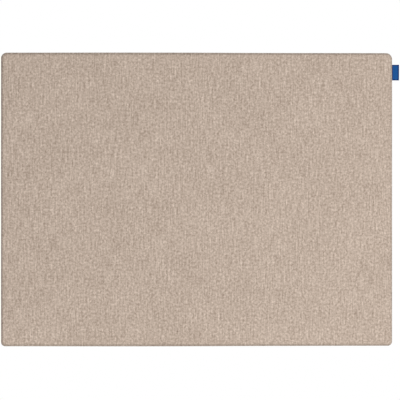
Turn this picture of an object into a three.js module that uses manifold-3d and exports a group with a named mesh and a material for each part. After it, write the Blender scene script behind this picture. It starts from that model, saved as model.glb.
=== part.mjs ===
// An upholstered acoustic pinboard that hooks onto an aluminium wall rail.
// Millimetres. +X runs to the right of the board, +Z up, and the board faces -Y.
// The wall is the plane y = 0, and the origin is the middle of the wall rail's back face.
// Depths are counted from the wall towards the viewer, so a depth d lies at y = -d.

import * as THREE from "three";
import { mergeVertices } from "three/addons/utils/BufferGeometryUtils.js";
import Module from "manifold-3d";

const wasm = await Module();
wasm.setup();

// Board
const boardWidth = 1000;
const boardHeight = 750;
const cornerRadius = 15;
const tightestRadius = 1;
const cornerSteps = 8;

// Layers from the front to the back
const coverThickness = 1;
const waddingThickness = 2.5;
const panelThickness = 8;
const frameThickness = 12;
const linerThickness = 0.8;
const glueLine = 0.1;
const slipClearance = 0.3;

// Cover, sewn from a front sheet and a side band that turns in behind the frame
const frontRound = 4;
const frontRoundSteps = 6;
const backRound = 2;
const backRoundSteps = 3;
const seamDrop = 1.5;
const seamWidth = 0.3;
const turnInWidth = 22;

// Back liner, lapped over the turned-in edge of the cover
const linerLap = 6;
const linerSlope = 2;

// Frame
const braceWidth = 40;
const coreClearance = 0.5;
const woodMargin = 3;

// Hooked rails, two lengths of one Z-shaped extrusion
const railStock = 2;
const railLeg = 20;
const railLip = 12;
const railChamfer = 0.6;
const hookClearance = 0.4;
const wallRailLength = 560;
const hangerRailLength = 640;
const hangerMargin = 2;

// Slots for wall screws in the wall rail
const slotCount = 4;
const slotEndMargin = 55;
const slotWidth = 8;
const slotLength = 18;
const slotSteps = 6;

// Pan-head screws through the hanger rail and the bumpers
const panScrew = { shank: 1.75, head: 3.6, headHeight: 2.2, crown: 2.6, sides: 12 };
const hangerScrewCount = 6;
const hangerScrewEndMargin = 40;
const screwClearance = 0.3;
const screwTip = 2;
const screwCover = 1.5;

// Flat steel plates across the frame's corners, let into the wood
const plateThickness = 1.5;
const plateLeg = 70;
const plateWidth = 16;
const plateHoleMargin = 9;
const plateHolePitch = 14;
const flatScrew = { shank: 1.6, head: 3, headHeight: plateThickness, sides: 8 };

// Dowels between the brace and the rails
const dowelRadius = 3;
const dowelLength = 30;
const dowelChamfer = 0.8;
const dowelSides = 12;

// Rubber bumpers that keep the lower edge off the wall
const bumperRadius = 9;
const bumperTaper = 0.8;
const bumperBoreClearance = 0.8;
const bumperFloor = 1.6;
const bumperFromSide = 70;
const bumperSides = 24;

// Woven label, folded double and caught in the right-hand seam
const labelHeight = 40;
const labelReach = 18;
const labelFromTop = 30;
const labelPly = 0.45;
const labelGap = 0.3;
const labelFoldSteps = 8;

// How far a cutting solid runs past what it cuts
const overrun = 5;

// Depths of the faces, from the wall to the front of the cover
const standOff = 2 * railStock + 3 * hookClearance;
const linerFront = standOff + linerThickness;
const frameBack = linerFront + glueLine;
const frameFront = frameBack + frameThickness;
const panelBack = frameFront + glueLine;
const panelFront = panelBack + panelThickness;
const waddingBack = panelFront + glueLine;
const waddingFront = waddingBack + waddingThickness;
const coverInside = waddingFront + glueLine;
const coverFront = coverInside + coverThickness;
const roundCentre = coverFront - frontRound;
const seamFront = roundCentre - seamDrop;
const seamBack = seamFront - seamWidth;
const turnInFront = frameBack - glueLine;
const turnInBack = turnInFront - coverThickness;
const lapFront = turnInBack - glueLine;
const lapBack = lapFront - linerThickness;

// Insets from the outline of the board
const bodyInset = coverThickness + slipClearance;
const easedEdge = backRound - coverThickness;
const linerInset = turnInWidth - linerLap;
const linerWebInset = turnInWidth + slipClearance;
const linerRampInset = linerWebInset + linerThickness;
const linerFlatInset = linerRampInset + linerSlope;
const hangerInset = linerFlatInset + hangerMargin;
const memberWidth = hangerInset + railLeg + woodMargin;
const memberMiddle = (linerFlatInset + memberWidth) / 2;
const hangerScrewInset = hangerInset + railLeg / 2;
const hangerScrewPitch = (hangerRailLength - 2 * hangerScrewEndMargin) / (hangerScrewCount - 1);
const slotPitch = (wallRailLength - 2 * slotEndMargin) / (slotCount - 1);
const flatScrewLength = frameThickness - 2 * screwCover;
const bumperBore = panScrew.head + bumperBoreClearance;

// Heights above the middle of the wall rail's leg
const wallLipFoot = railLeg / 2;
const wallLipTop = wallLipFoot + railLip;
const hangerFoot = wallLipTop + slipClearance;
const boardTop = hangerFoot + railLeg + hangerInset;
const boardMiddle = boardTop - boardHeight / 2;

const colours = {
  cover: { color: 0xbdab9d, roughness: 0.95, metalness: 0 },
  fleece: { color: 0xe9e6df, roughness: 1, metalness: 0 },
  panel: { color: 0xa58a66, roughness: 0.9, metalness: 0 },
  wool: { color: 0xd8d8d4, roughness: 1, metalness: 0 },
  wood: { color: 0xcfa977, roughness: 0.7, metalness: 0 },
  liner: { color: 0x3a3b3d, roughness: 1, metalness: 0 },
  aluminium: { color: 0xc4c6c8, roughness: 0.35, metalness: 1 },
  steel: { color: 0xb9bbbd, roughness: 0.3, metalness: 1 },
  rubber: { color: 0x232323, roughness: 0.8, metalness: 0 },
  label: { color: 0x225694, roughness: 0.8, metalness: 0 },
};

// Solids

function solidOf(geometry) {
  const bare = geometry.clone();
  bare.deleteAttribute("normal");
  bare.deleteAttribute("uv");
  const merged = mergeVertices(bare);
  return new wasm.Manifold(
    new wasm.Mesh({
      numProp: 3,
      vertProperties: merged.attributes.position.array,
      triVerts: new Uint32Array(merged.index.array),
    }),
  );
}

function geometryOf(solid) {
  const mesh = solid.getMesh();
  const geometry = new THREE.BufferGeometry();
  geometry.setAttribute("position", new THREE.BufferAttribute(mesh.vertProperties, 3));
  geometry.setIndex(new THREE.BufferAttribute(mesh.triVerts, 1));
  const faceted = geometry.toNonIndexed();
  faceted.computeVertexNormals();
  return faceted;
}

function cutFrom(geometry, cutters) {
  const left = cutters.reduce((solid, cutter) => solid.subtract(solidOf(cutter)), solidOf(geometry));
  return geometryOf(left);
}

function sharedBy(geometry, other) {
  return geometryOf(solidOf(geometry).intersect(solidOf(other)));
}

// A box between two corners, given as [x, depth, z].
function boxBetween([x0, d0, z0], [x1, d1, z1]) {
  const box = new THREE.BoxGeometry(Math.abs(x1 - x0), Math.abs(d1 - d0), Math.abs(z1 - z0));
  return box.translate((x0 + x1) / 2, -(d0 + d1) / 2, (z0 + z1) / 2);
}

// The board's outline at an inset, as points [x, z] about the board's middle.
function outlineAt(inset) {
  const radius = Math.max(cornerRadius - inset, tightestRadius);
  const x = boardWidth / 2 - inset - radius;
  const z = boardHeight / 2 - inset - radius;
  const centres = [[x, z], [-x, z], [-x, -z], [x, -z]];
  return centres.flatMap(([cx, cz], corner) =>
    Array.from({ length: cornerSteps + 1 }, (_, step) => {
      const angle = (corner + step / cornerSteps) * (Math.PI / 2);
      return [cx + radius * Math.cos(angle), cz + radius * Math.sin(angle)];
    }),
  );
}

// A body through outlines at [inset, depth] stations. It is capped at both ends,
// or its last station joins its first.
function loft(stations, { joined = false } = {}) {
  const loops = stations.map(([inset, depth]) => outlineAt(inset).map(([x, z]) => [x, -depth, z]));
  const size = loops[0].length;
  const positions = loops.flat(2);
  const faces = [];
  const bands = joined ? loops.length : loops.length - 1;
  for (let band = 0; band < bands; band += 1) {
    const near = band * size;
    const far = ((band + 1) % loops.length) * size;
    for (let i = 0; i < size; i += 1) {
      const next = (i + 1) % size;
      faces.push(near + i, far + i, far + next, near + i, far + next, near + next);
    }
  }
  if (!joined) {
    [0, loops.length - 1].forEach((end) => {
      const hub = positions.length / 3;
      positions.push(0, loops[end][0][1], 0);
      for (let i = 0; i < size; i += 1) {
        const rim = [end * size + i, end * size + ((i + 1) % size)];
        faces.push(hub, ...(end === 0 ? rim : rim.reverse()));
      }
    });
  }
  const geometry = new THREE.BufferGeometry();
  geometry.setAttribute("position", new THREE.Float32BufferAttribute(positions, 3));
  geometry.setIndex(faces);
  return geometry;
}

// Stations round a quarter turn about [inset, depth], from one angle to another.
// At angle 0 the outline is outermost, and at a quarter turn it is furthest forward.
function roundStations(inset, depth, radius, steps, from, to) {
  return Array.from({ length: steps + 1 }, (_, step) => {
    const angle = from + ((to - from) * step) / steps;
    return [inset - radius * Math.cos(angle), depth + radius * Math.sin(angle)];
  });
}

// A shape in the plane of depth and height, given as [depth, z], drawn out along X.
function drawAlongX(points, length) {
  const shape = new THREE.Shape(points.map(([depth, z]) => new THREE.Vector2(-depth, z)));
  const geometry = new THREE.ExtrudeGeometry(shape, { depth: length, bevelEnabled: false });
  const turn = new THREE.Matrix4().makeBasis(
    new THREE.Vector3(0, 1, 0),
    new THREE.Vector3(0, 0, 1),
    new THREE.Vector3(1, 0, 0),
  );
  return geometry.applyMatrix4(turn).translate(-length / 2, 0, 0);
}

// A shape in the plane of the board, given as [x, z], drawn out between two depths.
function drawThrough(shape, nearDepth, farDepth) {
  const geometry = new THREE.ExtrudeGeometry(shape, { depth: farDepth - nearDepth, bevelEnabled: false });
  return geometry.rotateX(Math.PI / 2).translate(0, -nearDepth, 0);
}

// Screws
// A screw's axis is the depth, its head is nearest the wall, and its seat lies at y = 0.

function screwShape({ shank, head, headHeight, crown, sides }, length, flat, extra = 0) {
  const seat = flat
    ? [[shank, -headHeight], [head, 0], [0, 0]]
    : [[shank, 0], [head, 0], [crown, headHeight], [0, headHeight]];
  const profile = [[0, -length], [shank, screwTip - length], ...seat].map(
    ([radius, y]) => new THREE.Vector2(radius && radius + extra, y),
  );
  profile[0].y -= extra;
  return new THREE.LatheGeometry(profile, sides);
}

function bore(radius, sides, nearDepth, farDepth) {
  const cylinder = new THREE.CylinderGeometry(radius, radius, farDepth - nearDepth, sides);
  return cylinder.translate(0, -(nearDepth + farDepth) / 2, 0);
}

const panScrewEnd = frameFront - screwCover;
const panScrewHole = (x, z) =>
  bore(panScrew.shank + screwClearance, panScrew.sides, -overrun, panScrewEnd + screwClearance).translate(x, 0, z);

// Places of the fixings, about the board's middle

function hangerScrewPlaces() {
  const first = (-(hangerScrewCount - 1) / 2) * hangerScrewPitch;
  return Array.from({ length: hangerScrewCount }, (_, i) => [
    first + i * hangerScrewPitch,
    boardHeight / 2 - hangerScrewInset,
  ]);
}

const bumperPlaces = {
  left: [bumperFromSide - boardWidth / 2, memberMiddle - boardHeight / 2],
  right: [boardWidth / 2 - bumperFromSide, memberMiddle - boardHeight / 2],
};

const panScrewPlaces = () => [...hangerScrewPlaces(), ...Object.values(bumperPlaces)];

const corners = {
  top_left: [-1, 1],
  top_right: [1, 1],
  bottom_left: [-1, -1],
  bottom_right: [1, -1],
};

const plateInset = (memberWidth - plateWidth) / 2;
const plateBack = frameBack;
const plateFront = plateBack + plateThickness;

// The plate's corner point lies at plateInset from both edges, and its legs run inwards.
function plateShape([sideX, sideZ], extra = 0) {
  const from = plateInset - extra;
  const across = plateInset + plateWidth + extra;
  const to = plateInset + plateLeg + extra;
  const places = [[from, from], [to, from], [to, across], [across, across], [across, to], [from, to]];
  return new THREE.Shape(
    places.map(
      ([x, z]) => new THREE.Vector2(sideX * (boardWidth / 2 - x), sideZ * (boardHeight / 2 - z)),
    ),
  );
}

function plateScrewPlaces([sideX, sideZ]) {
  const near = plateInset + plateLeg - plateHoleMargin;
  const middle = memberWidth / 2;
  const places = [[near, middle], [near - plateHolePitch, middle], [middle, near], [middle, near - plateHolePitch]];
  return places.map(([x, z]) => [sideX * (boardWidth / 2 - x), sideZ * (boardHeight / 2 - z)]);
}

const dowelPlaces = ["top", "bottom"].flatMap((end) =>
  ["left", "right"].map((side) => ({
    name: `brace_dowel_${end}_${side}`,
    x: ((side === "left" ? -1 : 1) * braceWidth) / 4,
    z: (end === "top" ? 1 : -1) * (boardHeight / 2 - memberWidth),
  })),
);
const dowelDepth = (frameBack + frameFront) / 2;

// Cover, wadding, panel and liner

function frontSheet() {
  const innerRound = frontRound - coverThickness;
  return loft([
    ...roundStations(frontRound, roundCentre, frontRound, frontRoundSteps, Math.PI / 2, 0),
    [0, seamFront],
    [coverThickness, seamFront],
    ...roundStations(frontRound, roundCentre, innerRound, frontRoundSteps, 0, Math.PI / 2),
  ]);
}

function sideBand() {
  const centre = turnInBack + backRound;
  return loft(
    [
      [0, seamBack],
      ...roundStations(backRound, centre, backRound, backRoundSteps, 0, -Math.PI / 2),
      [turnInWidth, turnInBack],
      [turnInWidth, turnInFront],
      ...roundStations(backRound, centre, backRound - coverThickness, backRoundSteps, -Math.PI / 2, 0),
      [coverThickness, seamBack],
    ],
    { joined: true },
  );
}

// A flat layer under the front sheet, whose edge follows the sheet's rounding at a gap.
function layerUnderCover(front, back, gap) {
  const radius = frontRound - coverThickness - gap;
  const angleAt = (depth) => Math.asin(Math.min(Math.max((depth - roundCentre) / radius, 0), 1));
  const stations = roundStations(
    frontRound,
    roundCentre,
    radius,
    Math.max(Math.round(((angleAt(front) - angleAt(back)) / (Math.PI / 2)) * frontRoundSteps), 1),
    angleAt(front),
    angleAt(back),
  );
  const square = back < roundCentre ? [[frontRound - radius, back]] : [];
  return loft([...stations, ...square]);
}

function liner() {
  const sheet = loft([
    [linerWebInset, linerFront],
    [linerWebInset, lapFront],
    [linerInset, lapFront],
    [linerInset, lapBack],
    [linerRampInset, lapBack],
    [linerFlatInset, standOff],
  ]);
  return cutFrom(sheet, panScrewPlaces().map(([x, z]) => panScrewHole(x, z)));
}

// Frame

const frameBlank = loft([
  [bodyInset, frameFront],
  [bodyInset, frameBack + easedEdge],
  [bodyInset + easedEdge, frameBack],
]);

function fixingHoles() {
  const panHoles = panScrewPlaces().map(([x, z]) => panScrewHole(x, z));
  const rebates = Object.values(corners).map((sides) =>
    drawThrough(plateShape(sides, slipClearance), frameBack - overrun, plateFront + slipClearance),
  );
  const plateHoles = Object.values(corners)
    .flatMap(plateScrewPlaces)
    .map(([x, z]) =>
      bore(
        flatScrew.shank + screwClearance,
        flatScrew.sides,
        plateBack,
        plateBack + flatScrewLength + screwClearance,
      ).translate(x, 0, z),
    );
  const dowelHoles = dowelPlaces.map(({ x, z }) =>
    new THREE.CylinderGeometry(
      dowelRadius + slipClearance,
      dowelRadius + slipClearance,
      dowelLength + 2 * slipClearance,
      dowelSides,
    )
      .rotateX(Math.PI / 2)
      .translate(x, -dowelDepth, z),
  );
  return [...panHoles, ...rebates, ...plateHoles, ...dowelHoles];
}

function frameMembers() {
  const halfWidth = boardWidth / 2 + overrun;
  const halfHeight = boardHeight / 2 + overrun;
  const railEdge = boardHeight / 2 - memberWidth;
  const stileEdge = boardWidth / 2 - memberWidth;
  const stileEnd = railEdge - glueLine;
  const areas = {
    top_rail: [[-halfWidth, railEdge], [halfWidth, halfHeight]],
    bottom_rail: [[-halfWidth, -halfHeight], [halfWidth, -railEdge]],
    left_stile: [[-halfWidth, -stileEnd], [-stileEdge, stileEnd]],
    right_stile: [[stileEdge, -stileEnd], [halfWidth, stileEnd]],
    centre_brace: [[-braceWidth / 2, -stileEnd], [braceWidth / 2, stileEnd]],
  };
  const holes = fixingHoles();
  return Object.entries(areas).map(([name, [[x0, z0], [x1, z1]]]) => {
    const area = boxBetween([x0, -overrun, z0], [x1, frameFront + overrun, z1]);
    return [name, cutFrom(sharedBy(frameBlank, area), holes)];
  });
}

function cores() {
  const near = braceWidth / 2 + coreClearance;
  const far = boardWidth / 2 - memberWidth - coreClearance;
  const end = boardHeight / 2 - memberWidth - coreClearance;
  return [
    ["acoustic_core_left", boxBetween([-far, frameBack, -end], [-near, frameFront, end])],
    ["acoustic_core_right", boxBetween([near, frameBack, -end], [far, frameFront, end])],
  ];
}

function cornerPlate(sides) {
  const holes = plateScrewPlaces(sides).map(([x, z]) =>
    screwShape(flatScrew, flatScrewLength, true, screwClearance).translate(x, -plateBack, z),
  );
  return cutFrom(drawThrough(plateShape(sides), plateBack, plateFront), holes);
}

function dowel() {
  const half = dowelLength / 2;
  const profile = [
    [0, -half],
    [dowelRadius - dowelChamfer, -half],
    [dowelRadius, dowelChamfer - half],
    [dowelRadius, half - dowelChamfer],
    [dowelRadius - dowelChamfer, half],
    [0, half],
  ].map(([radius, y]) => new THREE.Vector2(radius, y));
  return new THREE.LatheGeometry(profile, dowelSides).rotateX(Math.PI / 2);
}

// Rails. The section's leg lies on depth 0 with its top at z = 0, and its lip stands clear above it.

function railSection() {
  const lipBack = railStock + 2 * hookClearance;
  const lipFront = lipBack + railStock;
  return [
    [0, -railLeg],
    [railStock, -railLeg],
    [railStock, -railStock],
    [lipFront, -railStock],
    [lipFront, railLip - railChamfer],
    [lipFront - railChamfer, railLip],
    [lipBack + railChamfer, railLip],
    [lipBack, railLip - railChamfer],
    [lipBack, 0],
    [0, 0],
  ];
}

function slotCutter(x) {
  const run = (slotLength - slotWidth) / 2;
  const radius = slotWidth / 2;
  const points = [1, -1].flatMap((side) =>
    Array.from({ length: slotSteps + 1 }, (_, step) => {
      const angle = (step / slotSteps - 1 / 2) * Math.PI;
      return new THREE.Vector2(side * (run + radius * Math.cos(angle)), side * radius * Math.sin(angle));
    }),
  );
  return drawThrough(new THREE.Shape(points), -overrun, railStock + overrun).translate(x, 0, 0);
}

function wallRail() {
  const slots = Array.from({ length: slotCount }, (_, i) =>
    slotCutter((i - (slotCount - 1) / 2) * slotPitch),
  );
  const section = railSection().map(([depth, z]) => [depth, z + wallLipFoot]);
  return cutFrom(drawAlongX(section, wallRailLength), slots);
}

function hangerRail() {
  const foot = boardHeight / 2 - hangerInset - railLeg;
  const section = railSection().map(([depth, z]) => [standOff - depth, foot - z]);
  return cutFrom(
    drawAlongX(section, hangerRailLength),
    hangerScrewPlaces().map(([x, z]) => panScrewHole(x, z)),
  );
}

// Bumpers and label

function bumper() {
  const foot = bumperRadius - bumperTaper;
  const hole = panScrew.shank + screwClearance;
  const floor = bumperFloor - standOff;
  const profile = [
    [hole, -standOff],
    [bumperRadius, -standOff],
    [foot, 0],
    [bumperBore, 0],
    [bumperBore, floor],
    [hole, floor],
    [hole, -standOff],
  ].map(([radius, y]) => new THREE.Vector2(radius, y));
  return new THREE.LatheGeometry(profile, bumperSides);
}

const labelThickness = 2 * labelPly + labelGap;
const labelHinge = labelThickness / 2 + slipClearance;

// Folded section with its open edges at the seam, about the line on which the label bends.
function label() {
  const root = slipClearance - labelHinge;
  const fold = labelReach - labelHinge - labelThickness / 2;
  const half = labelThickness / 2;
  const bevel = labelPly / 2;
  const turn = (radius, from, to) =>
    Array.from({ length: labelFoldSteps + 1 }, (_, step) => {
      const angle = from + ((to - from) * step) / labelFoldSteps;
      return new THREE.Vector2(fold + radius * Math.cos(angle), radius * Math.sin(angle));
    });
  const shape = new THREE.Shape([
    new THREE.Vector2(root, bevel - half),
    new THREE.Vector2(root + bevel, -half),
    ...turn(half, -Math.PI / 2, Math.PI / 2),
    new THREE.Vector2(root + bevel, half),
    new THREE.Vector2(root, half - bevel),
    new THREE.Vector2(root, labelGap / 2),
    ...turn(labelGap / 2, Math.PI / 2, -Math.PI / 2),
    new THREE.Vector2(root, -labelGap / 2),
  ]);
  const geometry = new THREE.ExtrudeGeometry(shape, { depth: labelHeight, bevelEnabled: false });
  return geometry.translate(0, 0, -labelHeight / 2);
}

// Assembly

function namedMesh(name, geometry, finish) {
  const mesh = new THREE.Mesh(geometry, new THREE.MeshStandardMaterial(colours[finish]));
  mesh.name = name;
  return mesh;
}

const board = new THREE.Group();
board.position.z = boardMiddle;
board.add(
  namedMesh("fabric_front", frontSheet(), "cover"),
  namedMesh("fabric_side_band", sideBand(), "cover"),
  namedMesh("fleece_wadding", layerUnderCover(waddingFront, waddingBack, glueLine), "fleece"),
  namedMesh("pin_panel", layerUnderCover(panelFront, panelBack, slipClearance), "panel"),
  namedMesh("back_liner", liner(), "liner"),
  namedMesh("hanger_rail", hangerRail(), "aluminium"),
);
frameMembers().forEach(([name, geometry]) => board.add(namedMesh(name, geometry, "wood")));
cores().forEach(([name, geometry]) => board.add(namedMesh(name, geometry, "wool")));

Object.entries(corners).forEach(([corner, sides]) => {
  board.add(namedMesh(`corner_plate_${corner}`, cornerPlate(sides), "steel"));
  plateScrewPlaces(sides).forEach(([x, z], i) => {
    const screw = namedMesh(
      `corner_screw_${corner}_${i + 1}`,
      screwShape(flatScrew, flatScrewLength, true),
      "steel",
    );
    screw.position.set(x, -plateBack, z);
    board.add(screw);
  });
});

dowelPlaces.forEach(({ name, x, z }) => {
  const pin = namedMesh(name, dowel(), "wood");
  pin.position.set(x, -dowelDepth, z);
  board.add(pin);
});

hangerScrewPlaces().forEach(([x, z], i) => {
  const seat = standOff - railStock;
  const screw = namedMesh(`hanger_screw_${i + 1}`, screwShape(panScrew, panScrewEnd - seat, false), "steel");
  screw.position.set(x, -seat, z);
  board.add(screw);
});

Object.entries(bumperPlaces).forEach(([side, [x, z]]) => {
  const foot = namedMesh(`bumper_${side}`, bumper(), "rubber");
  foot.position.set(x, 0, z);
  const seat = standOff - bumperFloor;
  const screw = namedMesh(`bumper_screw_${side}`, screwShape(panScrew, panScrewEnd - seat, false), "steel");
  screw.position.set(x, -seat, z);
  board.add(foot, screw);
});

const labelMesh = namedMesh("label_tab", label(), "label");
labelMesh.position.set(
  boardWidth / 2 + labelHinge,
  -(seamFront + seamBack) / 2,
  boardHeight / 2 - labelFromTop - labelHeight / 2,
);
board.add(labelMesh);

const pinboard = new THREE.Group();
pinboard.add(board, namedMesh("wall_rail", wallRail(), "aluminium"));

export default pinboard;
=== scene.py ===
import random
from itertools import product
from math import atan2, cos, exp, hypot, pi, radians, sin

import bmesh
import bpy
from mathutils import Matrix, Vector, geometry, noise


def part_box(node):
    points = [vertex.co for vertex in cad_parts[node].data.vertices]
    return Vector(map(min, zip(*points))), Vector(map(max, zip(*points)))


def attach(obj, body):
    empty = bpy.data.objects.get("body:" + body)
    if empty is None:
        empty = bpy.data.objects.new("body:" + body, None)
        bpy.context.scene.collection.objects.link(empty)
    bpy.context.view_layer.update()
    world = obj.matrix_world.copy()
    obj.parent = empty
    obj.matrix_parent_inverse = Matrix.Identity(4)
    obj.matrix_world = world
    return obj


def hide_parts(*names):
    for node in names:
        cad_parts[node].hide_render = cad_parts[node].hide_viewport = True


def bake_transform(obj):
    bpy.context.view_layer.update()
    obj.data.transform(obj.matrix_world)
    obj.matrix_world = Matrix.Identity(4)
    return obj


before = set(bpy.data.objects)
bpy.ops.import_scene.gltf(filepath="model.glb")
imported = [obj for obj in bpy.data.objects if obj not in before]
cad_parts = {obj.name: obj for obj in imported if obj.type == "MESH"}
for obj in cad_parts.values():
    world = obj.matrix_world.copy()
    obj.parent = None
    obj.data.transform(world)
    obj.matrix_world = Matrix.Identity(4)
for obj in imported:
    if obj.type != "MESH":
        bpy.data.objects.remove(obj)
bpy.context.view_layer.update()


def centreOf(node):
    low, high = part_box(node)
    return (low.x + high.x) / 2, (low.z + high.z) / 2


def newObject(name, data):
    thing = bpy.data.objects.new(name, data)
    bpy.context.scene.collection.objects.link(thing)
    return thing


def lookAlong(thing, way):
    thing.rotation_mode = "QUATERNION"
    thing.rotation_quaternion = way.to_track_quat("-Z", "Y")


# The board as the frame gives it. Depth is counted from the wall, so y = -depth.
faceLow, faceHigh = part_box("fabric_front")
bandLow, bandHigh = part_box("fabric_side_band")
linerLow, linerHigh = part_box("back_liner")
middleX, middleZ = centreOf("fabric_front")
faceDepth = -faceLow.y
seamDepth = -(faceHigh.y + bandLow.y) / 2
backDepth = -bandHigh.y


# Camera: the photo is 400 pixels wide, and these are the board's edges in it
photo = {
    "pixels": 400,
    "left": 1.1,
    "right": 392.7,
    "top": 53.4,
    "bottom": 345.5,
    "lens": 100,
    "sensor": 36,
    "turnedLeft": radians(0.55),
}


def setCamera():
    perPixel = (faceHigh.x - faceLow.x) / (photo["right"] - photo["left"])
    half = photo["pixels"] / 2
    right = (photo["left"] + photo["right"]) / 2 - half
    down = (photo["top"] + photo["bottom"]) / 2 - half
    aim = Vector((middleX - right * perPixel, -faceDepth, middleZ + down * perPixel))
    distance = photo["pixels"] * perPixel * photo["lens"] / photo["sensor"]
    data = bpy.data.cameras.new("camera")
    data.lens, data.sensor_width = photo["lens"], photo["sensor"]
    camera = newObject("camera", data)
    turn = photo["turnedLeft"]
    camera.location = aim + distance * Vector((-sin(turn), -cos(turn), 0))
    lookAlong(camera, aim - camera.location)
    bpy.context.scene.camera = camera
    bpy.context.scene.view_settings.view_transform = "Standard"


setCamera()
print("camera set")


# Node helpers. New nodes go into the tree of the sockets that feed them.


def feed(socket, value):
    if isinstance(value, bpy.types.NodeSocket):
        socket.id_data.links.new(value, socket)
    else:
        socket.default_value = value


def feedAll(node, values):
    for name, value in values.items():
        feed(node.inputs[name], value)
    return node.outputs


def newNode(kind, *values):
    tree = next(value.id_data for value in values if isinstance(value, bpy.types.NodeSocket))
    node = tree.nodes.new(kind)
    for socket, value in zip(node.inputs, values):
        feed(socket, value)
    return node


def calc(operation, *values):
    node = newNode("ShaderNodeMath", *values)
    node.operation = operation
    return node.outputs[0]


def joined(*values):
    return newNode("ShaderNodeCombineXYZ", *values).outputs[0]


def parted(place):
    return newNode("ShaderNodeSeparateXYZ", place).outputs


def scaled(place, factors):
    node = newNode("ShaderNodeVectorMath", place, factors)
    node.operation = "MULTIPLY"
    return node.outputs[0]


def cloud(place, scale=1.0, detail=2.0, roughness=0.5):
    node = newNode("ShaderNodeTexNoise", place)
    return feedAll(node, {"Scale": scale, "Detail": detail, "Roughness": roughness})["Fac"]


def ranged(value, fromLow, fromHigh, toLow=0.0, toHigh=1.0):
    return newNode("ShaderNodeMapRange", value, fromLow, fromHigh, toLow, toHigh).outputs[0]


def mixed(share, first, second):
    node = newNode("ShaderNodeMix", share)
    node.data_type = "RGBA"
    feed(node.inputs[6], first)
    feed(node.inputs[7], second)
    return node.outputs[2]


def colour(red, green, blue):
    # a colour as it is read off a screen, 0 to 255
    steps = (level / 255 for level in (red, green, blue))
    return tuple(c / 12.92 if c <= 0.04045 else ((c + 0.055) / 1.055) ** 2.4 for c in steps) + (1.0,)


def newGroup(name, inputs, outputs):
    # an input is given by the kind of its socket, or by a number, its usual value
    tree = bpy.data.node_groups.new(name, "ShaderNodeTree")
    for title, given in inputs.items():
        kind = given if isinstance(given, str) else "Float"
        socket = tree.interface.new_socket(name=title, in_out="INPUT", socket_type="NodeSocket" + kind)
        if given is not kind:
            socket.default_value = given
    for title, kind in outputs.items():
        tree.interface.new_socket(name=title, in_out="OUTPUT", socket_type="NodeSocket" + kind)
    return tree.nodes.new("NodeGroupInput").outputs, tree.nodes.new("NodeGroupOutput").inputs


def placeGroup(name, place, values):
    node = place.id_data.nodes.new("ShaderNodeGroup")
    node.node_tree = bpy.data.node_groups[name]
    return feedAll(node, {"Place": place, **values})


def newFinish(name, settings):
    # a new material, handed on as its shader
    material = bpy.data.materials.new(name)
    material.use_nodes = True
    shader = material.node_tree.nodes["Principled BSDF"]
    feedAll(shader, settings)
    return shader


def tint(shader, share, first, second):
    feed(shader.inputs["Base Color"], mixed(share, first, second))


def bump(shader, height, distance, strength):
    node = shader.id_data.nodes.new("ShaderNodeBump")
    bumped = feedAll(node, {"Height": height, "Distance": distance, "Strength": strength})
    feed(shader.inputs["Normal"], bumped["Normal"])


def inMillimetres(shader, threads=False):
    # places in millimetres, from the frame or from the cloth's own thread map
    nodes = shader.id_data.nodes
    if threads:
        node = nodes.new("ShaderNodeUVMap")
        node.uv_map = "threads"
        return scaled(node.outputs["UV"], (1000, 1000, 1000))
    return scaled(nodes.new("ShaderNodeTexCoord").outputs["Object"], (1000, 1000, 1000))


# Finishes


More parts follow.
